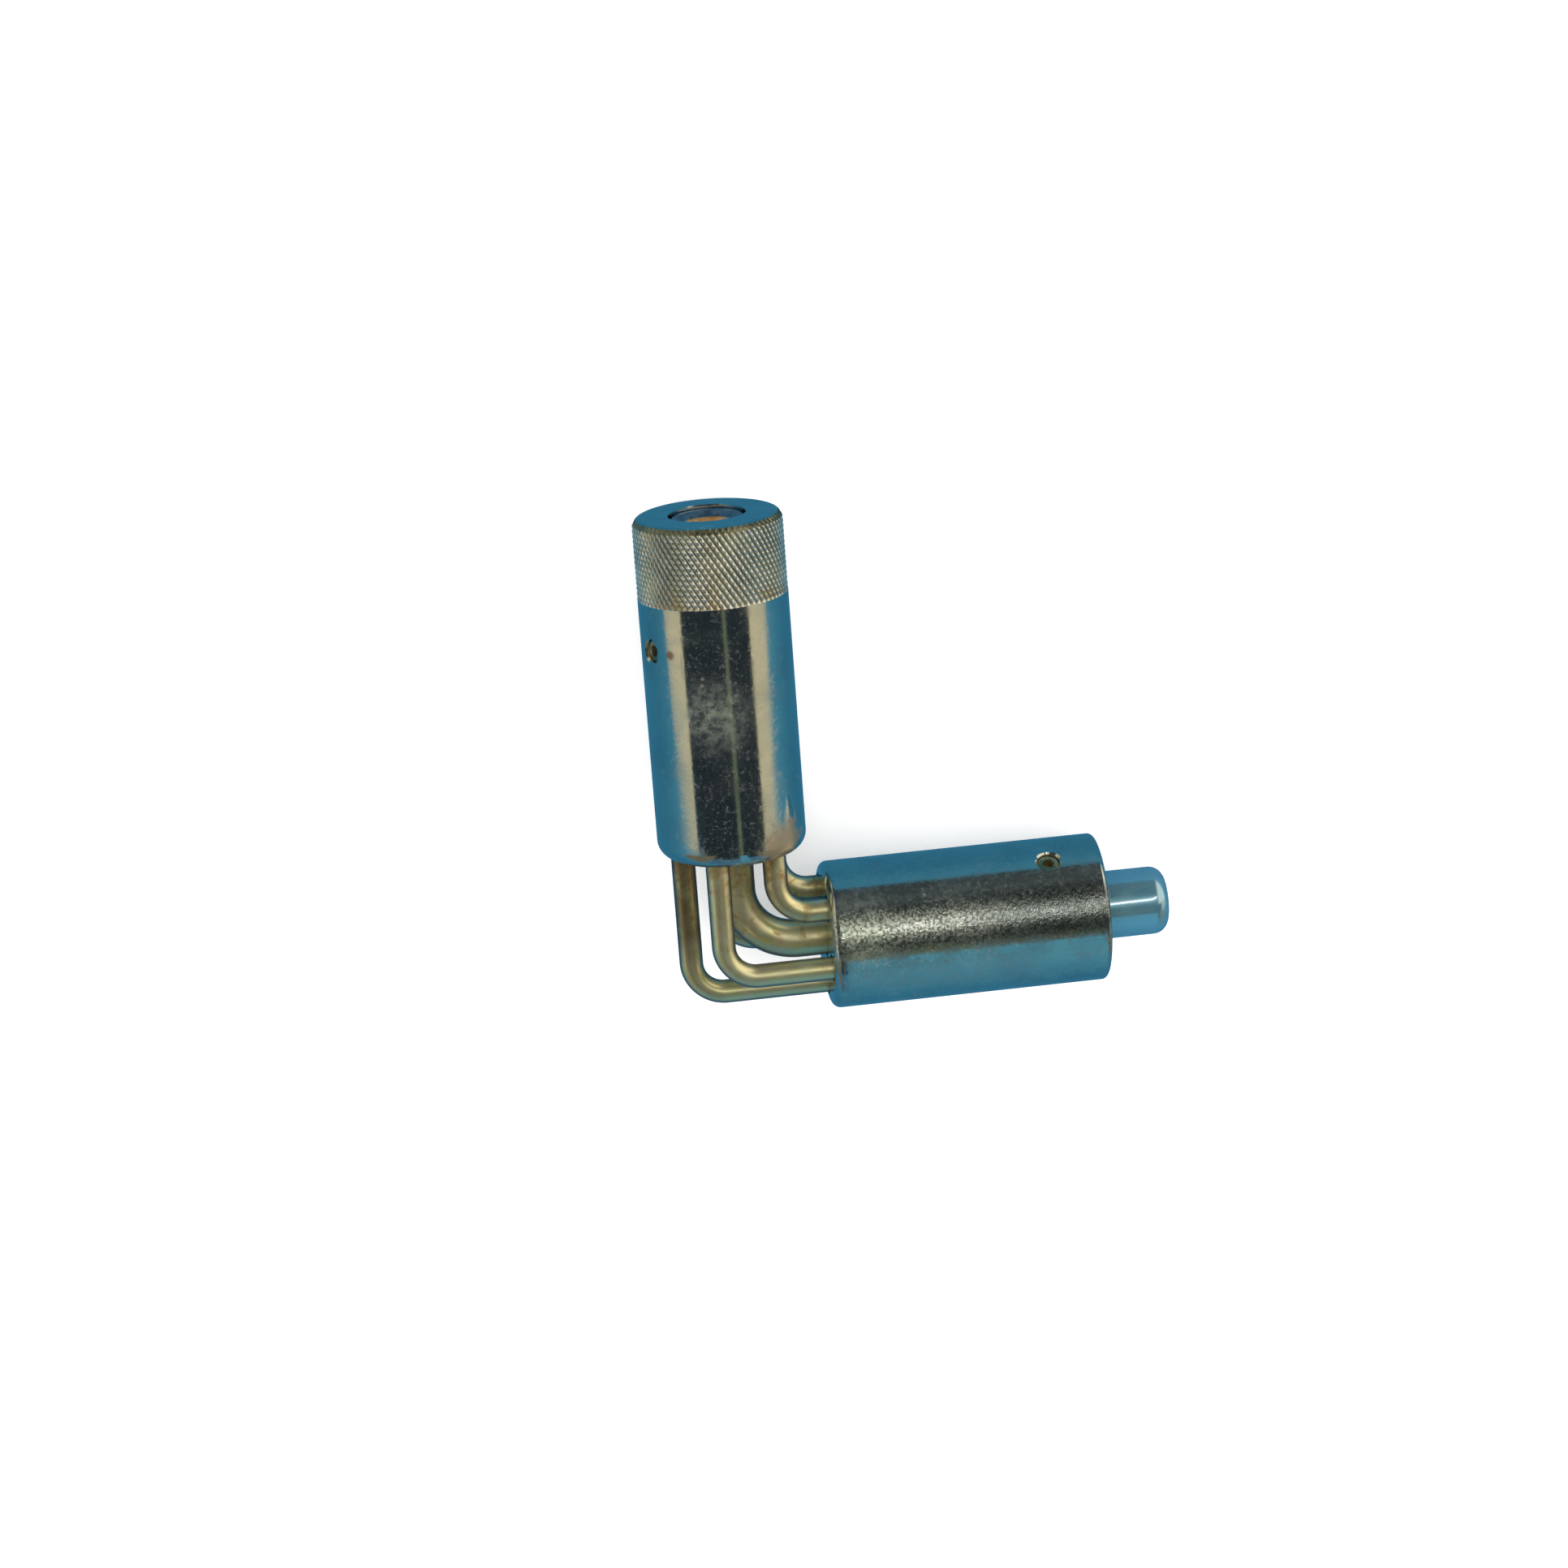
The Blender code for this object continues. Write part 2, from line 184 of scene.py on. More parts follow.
def mesh_piece(name, points, faces, place):
    mesh = bpy.data.meshes.new(name)
    mesh.from_pydata(points, [], faces)
    mesh.validate()
    piece = bpy.data.objects.new(name, mesh)
    bpy.context.scene.collection.objects.link(piece)
    piece.matrix_world = place
    return piece


def ring_faces(rings, sides, closed=False):
    """Quads from each ring of points to the next. An open run of rings gets a cap at both ends."""
    faces = []
    for ring in range(rings if closed else rings - 1):
        below = (ring + 1) % rings
        for side in range(sides):
            after = (side + 1) % sides
            faces.append((
                ring * sides + side,
                below * sides + side,
                below * sides + after,
                ring * sides + after,
            ))
    if not closed:
        last = (rings - 1) * sides
        faces.append(tuple(range(sides)))
        faces.append(tuple(last + side for side in reversed(range(sides))))
    return faces


def turned(name, outline, sides, place):
    """A closed turned piece about local Z. The outline is (radius, height) from top to bottom."""
    points = []
    for radius, height in outline:
        for side in range(sides):
            angle = math.tau * side / sides
            points.append((radius * math.cos(angle), radius * math.sin(angle), height))
    return mesh_piece(name, points, ring_faces(len(outline), sides), place)


def turned_ring(name, outline, sides, place, relief):
    """A closed ring about local Z. The outline is a loop of (radius, height, share of the relief).

    relief(angle, height) is how far the surface is cut in.
    """
    points = []
    for radius, height, share in outline:
        for side in range(sides):
            angle = math.tau * side / sides
            reach = radius - (share * relief(angle, height) if share else 0.0)
            points.append((reach * math.cos(angle), reach * math.sin(angle), height))
    return mesh_piece(name, points, ring_faces(len(outline), sides, closed=True), place)


def smooth(piece, sharp_above=30):
    piece.data.shade_smooth()
    piece.data.set_sharp_from_angle(angle=math.radians(sharp_above))
    return piece


def drill_bit(name, outline, place):
    return turned(name, outline, BORE_SIDES, place)


def plain_bit(name, radius, bottom, top, place):
    return drill_bit(name, [(radius, top), (radius, bottom)], place)


def hex_bit(name, flats, bottom, top, place):
    reach = flats / 2 / math.cos(math.pi / 6)
    return turned(name, [(reach, top), (reach, bottom)], 6, place)


def cut_away(piece, bits):
    """Cuts each bit out of the piece, and keeps the result as the piece's own mesh."""
    for bit in bits:
        boolean = piece.modifiers.new(bit.name, 'BOOLEAN')
        boolean.operation = 'DIFFERENCE'
        boolean.object = bit
        boolean.solver = 'EXACT'
    bpy.context.view_layer.update()
    evaluated = piece.evaluated_get(bpy.context.evaluated_depsgraph_get())
    cut_mesh = bpy.data.meshes.new_from_object(evaluated)
    piece.modifiers.clear()
    piece.data = cut_mesh
    for bit in bits:
        bpy.data.objects.remove(bit, do_unlink=True)
    return piece


def bent_rod(name, radius, bend_radius, offset, height, output_end, input_end, radius_at=None):
    """A round rod with one square bend. Its legs run out along +Y and +X, with chamfered ends.

    radius_at(distance from the elbow, that leg's end) gives the radius along the legs.
    """
    if radius_at is None:
        def radius_at(station, end):
            return radius

    centre = offset + bend_radius
    tip = radius - PIN_END_CHAMFER
    shoulder = output_end - PIN_END_CHAMFER
    # Each station is (x, y, direction x, direction y, radius, how far into the bend)
    stations = [(offset, output_end, 0, 1, tip, 0), (offset, shoulder, 0, 1, radius, 0)]
    for y in np.linspace(shoulder - PIN_END_CHAMFER, centre, LEG_STATIONS)[:-1]:
        stations.append((offset, y, 0, 1, radius_at(y, output_end), 0))
    for angle in np.radians(np.linspace(180, 270, BEND_STATIONS)):
        turn = math.sin(2 * (angle - math.pi))
        stations.append((
            centre + bend_radius * math.cos(angle),
            centre + bend_radius * math.sin(angle),
            math.sin(angle), -math.cos(angle), radius, turn,
        ))
    shoulder = input_end - PIN_END_CHAMFER
    for x in np.linspace(centre, shoulder - PIN_END_CHAMFER, LEG_STATIONS)[1:]:
        stations.append((x, offset, -1, 0, radius_at(x, input_end), 0))
    stations += [(shoulder, offset, -1, 0, radius, 0), (input_end, offset, -1, 0, tip, 0)]

    points = []
    for x, y, along_x, along_y, size, turn in stations:
        for side in range(ROD_SIDES):
            angle = math.tau * side / ROD_SIDES
            across = size * math.cos(angle) * (1 - BEND_FLATTENING * turn)
            points.append((x - along_y * across, y + along_x * across, height + size * math.sin(angle)))
    rod = mesh_piece(name, points, ring_faces(len(stations), ROD_SIDES), ELBOW_FRAME)
    face_outwards(rod)
    return smooth(rod)


def face_outwards(piece):
    shape = bmesh.new()
    shape.from_mesh(piece.data)
    bmesh.ops.recalc_face_normals(shape, faces=shape.faces)
    shape.to_mesh(piece.data)
    shape.free()


# ---------------------------------------------------------------- where the pins and screws are

def pin_offset(node):
    """How far a drive pin lies towards the inside of the elbow, and how high."""
    low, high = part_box(node)
    return low.x + PIN_RADIUS - ELBOW.x, middle(node).z - ELBOW.z


def screw_frame(node, barrel_frame):
    """Where a retaining screw is, with local Z pointing out of the barrel along the screw."""
    spot = barrel_frame.inverted() @ middle(node)
    out_of_side = Euler((0, math.pi / 2, math.atan2(spot.y, spot.x))).to_matrix().to_4x4()
    return barrel_frame @ Matrix.Translation((0, 0, spot.z)) @ out_of_side


def elbow_end_bits(name, barrel_frame, face, height_sign, core_end):
    """The ring of pin bores and the core's bore, drilled from the barrel's elbow end."""
    bits = [plain_bit(name + "_core_bit", CORE_RADIUS + FIT_GAP, face - OVERSHOOT, core_end, barrel_frame)]
    reach = max(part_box(node)[1].x for node in DRIVE_PINS) - ELBOW.x + PIN_BORE_PAST_END
    for node in DRIVE_PINS:
        offset, height = pin_offset(node)
        place = barrel_frame @ Matrix.Translation((offset, height_sign * height, 0))
        bits.append(plain_bit(name + node, PIN_RADIUS + FIT_GAP, face - OVERSHOOT, reach, place))
    return bits


def screw_hole_bit(node, barrel_frame):
    hole = SCREW_RADIUS + SCREW_HOLE_PLAY
    mouth = hole + SCREW_HOLE_COUNTERSINK
    outline = [
        (mouth + OVERSHOOT, BARREL_RADIUS + OVERSHOOT),
        (hole, BARREL_RADIUS - SCREW_HOLE_COUNTERSINK),
        (hole, CORE_RADIUS),
    ]
    return drill_bit(node + "_hole", outline, screw_frame(node, barrel_frame))


# ---------------------------------------------------------------- pieces

def side_and_elbow_end(top, face, elbow_round):
    """The outline of a barrel from a height on its side, down round its elbow end."""
    bottom = (BARREL_RADIUS, face + elbow_round)
    outline = straight((BARREL_RADIUS, top), bottom, SIDE_STEPS)
    return outline + round_edge(BARREL_RADIUS - elbow_round, bottom[1], elbow_round, 0, -90)


def knurl_relief(angle, height):
    """Depth of the two crossing sets of knurl grooves. The cross cut is the shallower one."""
    turn = KNURL_TEETH * angle / math.tau
    lean = height * math.tan(KNURL_HELIX) / (math.tau * BARREL_RADIUS / KNURL_TEETH)
    first = abs(2 * ((turn + lean) % 1) - 1)
    second = abs(2 * ((turn - lean) % 1) - 1)
    return max(KNURL_DEEP_CUT * first, KNURL_CROSS_CUT * second)


def make_output_barrel():
    """The barrel that holds the bit, turned down under the knurl, and the knurled band round it."""
    rim_radius = BARREL_RADIUS - OUTPUT_RIM_ROUND
    rim_height = OUTPUT_END - OUTPUT_RIM_ROUND
    outline = round_edge(rim_radius, rim_height, OUTPUT_RIM_ROUND, 90, KNURL_RIM_ANGLE)
    lip_height = outline[-1][1]
    waist = BARREL_RADIUS - BAND_WALL
    outline += [(waist, lip_height), (waist, KNURL_BOTTOM), (BARREL_RADIUS, KNURL_BOTTOM)]
    outline += side_and_elbow_end(KNURL_BOTTOM, OUTPUT_FACE, OUTPUT_ELBOW_ROUND)
    barrel = turned("output_barrel_body", outline, FINE_SIDES, OUTPUT_FRAME)

    core_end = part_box("core_pin")[1].y - ELBOW.y + FIT_GAP
    bits = elbow_end_bits("output_", OUTPUT_FRAME, OUTPUT_FACE, -1, core_end)
    bits.append(screw_hole_bit("output_set_screw", OUTPUT_FRAME))
    seat_radius = SOCKET_RADIUS + FIT_GAP
    bits.append(drill_bit("socket_seat", [
        (seat_radius + SEAT_COUNTERSINK + OVERSHOOT, OUTPUT_END + OVERSHOOT),
        (seat_radius, OUTPUT_END - SEAT_COUNTERSINK),
        (seat_radius, MAGNET_BOTTOM - FIT_GAP),
    ], OUTPUT_FRAME))
    smooth(cut_away(barrel, bits))

    rows = int(KNURL_LENGTH / KNURL_ROW)
    band = []
    for row in range(rows + 1):
        height = lip_height - (lip_height - KNURL_BOTTOM) * row / rows
        rise = max(0.0, height - rim_height)
        radius = rim_radius + math.sqrt(OUTPUT_RIM_ROUND ** 2 - rise ** 2)
        run_out = min(lip_height - height, height - KNURL_BOTTOM) / KNURL_RUN_OUT
        band.append((radius, height, min(1.0, KNURL_EDGE_SHARE + run_out)))
    band.append((waist - BAND_OVERLAP, KNURL_BOTTOM, 0))
    band.append((waist - BAND_OVERLAP, lip_height, 0))
    sides = KNURL_TEETH * KNURL_SIDES_PER_TOOTH
    knurl = turned_ring("knurled_band", band, sides, OUTPUT_FRAME, knurl_relief)
    return barrel, smooth(knurl, sharp_above=50)


def make_input_barrel():
    rim_height = INPUT_END - INPUT_RIM_ROUND
    outline = round_edge(BARREL_RADIUS - INPUT_RIM_ROUND, rim_height, INPUT_RIM_ROUND, 90, 0)
    outline += side_and_elbow_end(rim_height, INPUT_FACE, INPUT_ELBOW_ROUND)
    barrel = turned("input_barrel_body", outline, FINE_SIDES, INPUT_FRAME)
    bits = elbow_end_bits("input_", INPUT_FRAME, INPUT_FACE, 1, INPUT_END + OVERSHOOT)
    bits.append(screw_hole_bit("input_set_screw", INPUT_FRAME))
    return smooth(cut_away(barrel, bits))


def make_shank():
    round_height = SHANK_END - SHANK_END_ROUND
    outline = round_edge(SHANK_RADIUS - SHANK_END_ROUND, round_height, SHANK_END_ROUND, 90, 0)
    outline += straight((SHANK_RADIUS, round_height), (SHANK_RADIUS, SHANK_SHOULDER), SHANK_STEPS)
    outline += [
        (SHANK_RADIUS, SHANK_SHOULDER),
        (CORE_RADIUS, SHANK_SHOULDER),
        (CORE_RADIUS, SHANK_TENON_START),
    ]
    return smooth(turned("chuck_shank", outline, FINE_SIDES, INPUT_FRAME))


def make_socket():
    outline = [
        (SOCKET_RADIUS - SOCKET_EDGE, SOCKET_TOP),
        (SOCKET_RADIUS, SOCKET_TOP - SOCKET_EDGE),
        (SOCKET_RADIUS, SOCKET_BOTTOM),
    ]
    sleeve = turned("hex_sleeve", outline, FINE_SIDES // 2, OUTPUT_FRAME)
    hexagon = hex_bit("hexagon", HEX_FLATS, SOCKET_BOTTOM - OVERSHOOT, SOCKET_TOP + OVERSHOOT, OUTPUT_FRAME)
    countersink = drill_bit("countersink", [
        (HEX_FLATS / 2 + SOCKET_COUNTERSINK + OVERSHOOT, SOCKET_TOP + OVERSHOOT),
        (HEX_FLATS / 2, SOCKET_TOP - SOCKET_COUNTERSINK),
    ], OUTPUT_FRAME)
    return smooth(cut_away(sleeve, [hexagon, countersink]))


def make_magnet():
    outline = round_edge(
        MAGNET_RADIUS - MAGNET_EDGE, MAGNET_TOP - MAGNET_EDGE, MAGNET_EDGE, 90, 0, SMALL_ROUND_STEPS)
    outline.append((MAGNET_RADIUS, MAGNET_BOTTOM))
    return smooth(turned("magnet_disc", outline, BORE_SIDES, OUTPUT_FRAME))


def make_screw(node, name, barrel_frame):
    top = BARREL_RADIUS - SCREW_SUNK
    outline = round_edge(SCREW_RADIUS - SCREW_EDGE, top - SCREW_EDGE, SCREW_EDGE, 90, 0, SMALL_ROUND_STEPS)
    outline += [
        (SCREW_RADIUS, SCREW_TIP_START),
        (SCREW_TIP_RADIUS, SCREW_TIP_START),
        (SCREW_TIP_RADIUS, CORE_RADIUS - GROOVE_DEPTH + FIT_GAP),
    ]
    place = screw_frame(node, barrel_frame)
    screw = turned(name, outline, BORE_SIDES, place)
    key = hex_bit(name + "_key", SCREW_KEY_FLATS, top - SCREW_KEY_DEPTH, top + OVERSHOOT, place)
    return smooth(cut_away(screw, [key]))


def make_core():
    """The middle rod, with a groove near each end for a screw's tip."""
    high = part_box("core_pin")[1]

    def radius_at(station, end):
        from_groove = end - station - CORE_NOSE - GROOVE_HALF_WIDTH
        in_groove = abs(from_groove) < GROOVE_HALF_WIDTH
        return CORE_RADIUS - (GROOVE_DEPTH if in_groove else 0)

    return bent_rod(
        "core_rod", CORE_RADIUS, CORE_BEND_RADIUS, 0, 0, high.y - ELBOW.y, high.x - ELBOW.x, radius_at)


def make_drive_rod(node):
    offset, height = pin_offset(node)
    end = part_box(node)[1].x - ELBOW.x
    number = node.rsplit("_", 1)[1]
    return bent_rod("drive_rod_" + number, PIN_RADIUS, PIN_BEND_RADIUS, offset, height, end, end)


# ---------------------------------------------------------------- colours

ZINC_GREY = (0.60, 0.62, 0.58, 1)
ZINC_PALE = (0.70, 0.70, 0.63, 1)
ZINC_CLOUD = (0.74, 0.75, 0.66, 1)
ZINC_SMEAR = (0.48, 0.50, 0.46, 1)
# Pale tint of a dull hazy patch, standing in for glare
ZINC_HAZE_AND_GLARE = (0.64, 0.70, 0.52, 1)
ZINC_STAIN = (0.36, 0.24, 0.11, 1)
ZINC_RUST = (0.22, 0.09, 0.05, 1)
ZINC_GRAIN = (0.16, 0.18, 0.15, 1)
# Painted shade that dims the input barrel's highlight towards its far end
ZINC_FAR_END_SHADE = (0.16, 0.18, 0.17, 1)
# Painted shade in the knurl's grooves, over a yellowed plate
GROOVE_SHADE_DARK = (0.14, 0.14, 0.09, 1)
GROOVE_SHADE_LIGHT = (0.32, 0.29, 0.17, 1)
CREST_DARK = (0.86, 0.84, 0.74, 1)
CREST_LIGHT = (0.94, 0.90, 0.76, 1)
# Painted highlight on the crests near the knurl's bottom
CREST_PAINTED_HIGHLIGHT = (0.95, 0.93, 0.87, 1)
CREST_PATCH = (0.46, 0.46, 0.30, 1)
KNURL_STAIN = (0.62, 0.42, 0.18, 1)
# Blue of the shank's film, deepened to paint the blue sheets' reflection
FILM_AND_REFLECTION_DARK = (0.13, 0.38, 0.50, 1)
FILM_AND_REFLECTION_LIGHT = (0.18, 0.43, 0.54, 1)
FILM_SMEAR = (0.22, 0.42, 0.50, 1)
GOLD_GREENISH = (0.92, 0.86, 0.46, 1)
GOLD_ROSY = (0.95, 0.80, 0.47, 1)
GOLD_SMEAR = (0.86, 0.83, 0.62, 1)
GOLD_STAIN = (0.48, 0.24, 0.05, 1)
GOLD_OUTER_LEG_BROWN = (0.30, 0.21, 0.10, 1)
# Painted shade for the rods' edges seen edge-on
GOLD_PAINTED_EDGE_SHADE = (0.08, 0.10, 0.16, 1)
STRAW_DARK = (0.34, 0.30, 0.18, 1)
STRAW_LIGHT = (0.60, 0.52, 0.30, 1)
NICKEL_DARK = (0.50, 0.50, 0.50, 1)
NICKEL_LIGHT = (0.64, 0.63, 0.60, 1)
# Painted glint inside the hex socket
PAINTED_GLINT_AMBER_DARK = (0.78, 0.46, 0.16, 1)
PAINTED_GLINT_AMBER_LIGHT = (0.90, 0.74, 0.42, 1)
# Painted dark blue reflection at the socket's mouth
PAINTED_MOUTH_REFLECTION_DARK = (0.035, 0.09, 0.15, 1)
PAINTED_MOUTH_REFLECTION_LIGHT = (0.07, 0.15, 0.22, 1)
BOARD_DARK = (0.90, 0.90, 0.90, 1)
BOARD_LIGHT = (0.93, 0.93, 0.93, 1)
WHITE = (1.0, 1.0, 1.0, 1)

# What bright metal mirrors
ROOM = (0.030, 0.044, 0.045, 1)
ROOM_HIGH = (0.045, 0.062, 0.066, 1)
ROOM_LOW = (0.012, 0.022, 0.030, 1)
ROOM_SIDES = (0.012, 0.04, 0.075, 1)
WINDOW = (1.5, 1.55, 1.27, 1)
DIM_PANE = (0.135, 0.16, 0.11, 1)
PALE_WALL = (0.62, 0.56, 0.39, 1)
SHADED_WALL = (0.17, 0.155, 0.10, 1)
SUNNY_WALL = (1.05, 1.0, 0.85, 1)
SHADED_SHEET = (0.055, 0.165, 0.27, 1)
SHEET_LOW = (0.035, 0.19, 0.33, 1)
SHEET_HIGH = (0.09, 0.34, 0.48, 1)


# ---------------------------------------------------------------- shader building blocks

class Graph:
    """Adds and joins nodes in one node tree."""

    def __init__(self, tree):
        self.tree = tree

    def add(self, kind, **settings):
        node = self.tree.nodes.new(kind)
        for key, value in settings.items():
            setattr(node, key, value)
        return node

    def join(self, source, target):
        self.tree.links.new(source, target)

    def feed(self, socket, value):
        if isinstance(value, bpy.types.NodeSocket):
            self.join(value, socket)
        else:
            socket.default_value = value

    def math(self, operation, first, second=0.0, clamp=False):
        node = self.add("ShaderNodeMath", operation=operation, use_clamp=clamp)
        self.feed(node.inputs[0], first)
        self.feed(node.inputs[1], second)
        return node.outputs[0]

    def product(self, first, *others):
        for other in others:
            first = self.math('MULTIPLY', first, other)
        return first

    def largest(self, first, *others):
        for other in others:
            first = self.math('MAXIMUM', first, other)
        return first

    def total(self, start, *weighted):
        """A start value plus each (value, weight) in turn."""
        for value, weight in weighted:
            start = self.math('ADD', start, self.math('MULTIPLY', value, weight))
        return start

    def ramp(self, value, low, high, out_low=0.0, out_high=1.0):
        node = self.add("ShaderNodeMapRange", interpolation_type='SMOOTHSTEP')
        for socket, setting in zip(node.inputs, (value, low, high, out_low, out_high)):
            self.feed(socket, setting)
        return node.outputs[0]

    def mix(self, share, first, second):
        node = self.add("ShaderNodeMix", data_type='RGBA')
        self.feed(node.inputs[0], share)
        self.feed(node.inputs[6], first)
        self.feed(node.inputs[7], second)
        return node.outputs[2]

    def painted(self, colour, *layers):
        """A colour with tints laid over it in turn. Each layer is (mask, strength, tint)."""
        for mask, strength, tint in layers:
            colour = self.mix(self.math('MULTIPLY', mask, strength), colour, tint)
        return colour

    def noise(self, place, scale, detail=3.0, roughness=0.5, distortion=0.0):
        node = self.add("ShaderNodeTexNoise")
        self.feed(node.inputs["Vector"], place)
        self.feed(node.inputs["Scale"], scale)
        node.inputs["Detail"].default_value = detail
        node.inputs["Roughness"].default_value = roughness
        node.inputs["Distortion"].default_value = distortion
        return node.outputs["Fac"]

    def cells(self, place, scale):
        """Distance to the nearest of scattered points."""
        node = self.add("ShaderNodeTexVoronoi", feature='F1')
        self.feed(node.inputs["Vector"], place)
        self.feed(node.inputs["Scale"], scale)
        return node.outputs["Distance"]

    def stretched(self, place, scale):
        node = self.add("ShaderNodeMapping")
        self.feed(node.inputs["Vector"], place)
        node.inputs["Scale"].default_value = scale
        return node.outputs[0]

    def part(self, vector, axis):
        split = self.add("ShaderNodeSeparateXYZ")
        self.join(vector, split.inputs[0])
        return split.outputs[axis]

    def against(self, operation, vector, fixed):
        """The distance from a fixed point, or the dot product with a fixed direction."""
        node = self.add("ShaderNodeVectorMath", operation=operation)
        self.join(vector, node.inputs[0])
        node.inputs[1].default_value = fixed
        return node.outputs["Value"]


def new_group(name, inputs, outputs):
    """A shader node group with named sockets. Returns it with its graph, inputs and outputs."""
    group = bpy.data.node_groups.new(name, 'ShaderNodeTree')
    for label, kind, value in inputs:
        socket = group.interface.new_socket(label, in_out='INPUT', socket_type=kind)
        if value is not None:
            socket.default_value = value
    for label, kind in outputs:
        group.interface.new_socket(label, in_out='OUTPUT', socket_type=kind)
    graph = Graph(group)
    given = graph.add("NodeGroupInput").outputs
    return group, graph, given, graph.add("NodeGroupOutput").inputs


def make_lumps_group():
    """Lumps and pits left by plating, as a height from 0 to 1, and the pits as a mask."""
    group, g, given, out = new_group(
        "plating_lumps",
        [("Position", 'NodeSocketVector', None), ("Lump Size", 'NodeSocketFloat', 0.8 * MM),
         ("Pit Size", 'NodeSocketFloat', 0.5 * MM), ("Pit Share", 'NodeSocketFloat', 0.3)],
        [("Height", 'NodeSocketFloat'), ("Pits", 'NodeSocketFloat')],
    )
    lump_scale = g.math('DIVIDE', 1.0, given["Lump Size"])
    pit_scale = g.math('DIVIDE', 1.0, given["Pit Size"])
    lumps = g.noise(given["Position"], lump_scale, 2.5, 0.55, 0.3)
    pit_spread = g.noise(given["Position"], g.product(lump_scale, 0.22), 2.0)
    spots = g.ramp(g.cells(given["Position"], pit_scale), 0.34, 0.12)
    allowed = g.ramp(pit_spread, g.math('SUBTRACT', 0.75, given["Pit Share"]), 0.78)
    pits = g.product(spots, allowed)
    g.join(g.total(lumps, (pits, -0.35)), out["Height"])
    g.join(pits, out["Pits"])
    return group


def make_marks_group():
    """Finger smears and handling marks: a soft mask, and fine scratches along local Z."""
    group, g, given, out = new_group(
        "handling_marks",
        [("Position", 'NodeSocketVector', None), ("Smear Size", 'NodeSocketFloat', 6 * MM),
         ("Scratch Gap", 'NodeSocketFloat', 0.4 * MM)],
        [("Smear", 'NodeSocketFloat'), ("Scratches", 'NodeSocketFloat')],
    )
    smear_scale = g.math('DIVIDE', 1.0, given["Smear Size"])
    scratch_scale = g.math('DIVIDE', 1.0, given["Scratch Gap"])
    smear = g.ramp(g.noise(given["Position"], smear_scale, 4.0, 0.6, 0.8), 0.42, 0.68)
    along = g.stretched(given["Position"], (1.0, 1.0, 0.035))
    lines = g.ramp(g.noise(along, scratch_scale, 2.0, 0.5, 0.1), 0.62, 0.72)
    broken = g.ramp(g.noise(given["Position"], g.product(smear_scale, 1.7), 2.0), 0.5, 0.62)
    g.join(smear, out["Smear"])
    g.join(g.product(lines, broken), out["Scratches"])
    return group


def make_stain_group():
    """Brown stain in blotches, most where the distance fed in is small."""
    group, g, given, out = new_group(
        "brown_stain",
        [("Position", 'NodeSocketVector', None), ("Distance", 'NodeSocketFloat', 0.0),
         ("Reach", 'NodeSocketFloat', 6 * MM), ("Blotch Size", 'NodeSocketFloat', 2 * MM),
         ("Amount", 'NodeSocketFloat', 0.5)],
        [("Stain", 'NodeSocketFloat')],
    )
    blotch_scale = g.math('DIVIDE', 1.0, given["Blotch Size"])
    blotches = g.noise(given["Position"], blotch_scale, 5.0, 0.65, 0.6)
    near = g.math('SUBTRACT', 1.0, g.math('DIVIDE', given["Distance"], given["Reach"]), clamp=True)
    g.join(g.ramp(g.total(blotches, (near, given["Amount"])), 0.62, 0.92), out["Stain"])
    return group


def place_group(g, group, **values):
    """Puts a group in a material with its own values. Returns its outputs."""
    node = g.add("ShaderNodeGroup", node_tree=group)
    for label, value in values.items():
        g.feed(node.inputs[label.replace("_", " ")], value)
    return node.outputs


LUMPS = make_lumps_group()
MARKS = make_marks_group()
STAIN = make_stain_group()


# ---------------------------------------------------------------- metals

def new_metal(name):
    material = bpy.data.materials.new(name)
    material.use_nodes = True
    shader = material.node_tree.nodes["Principled BSDF"]
    shader.inputs["Metallic"].default_value = 1.0
    g = Graph(material.node_tree)
    position = g.add("ShaderNodeTexCoord").outputs["Object"]
    return material, g, shader, position


def bumped(g, shader, height, depth):
    bump = g.add("ShaderNodeBump")
    bump.inputs["Strength"].default_value = 1.0
    bump.inputs["Distance"].default_value = depth
    g.join(height, bump.inputs["Height"])
    g.join(bump.outputs["Normal"], shader.inputs["Normal"])


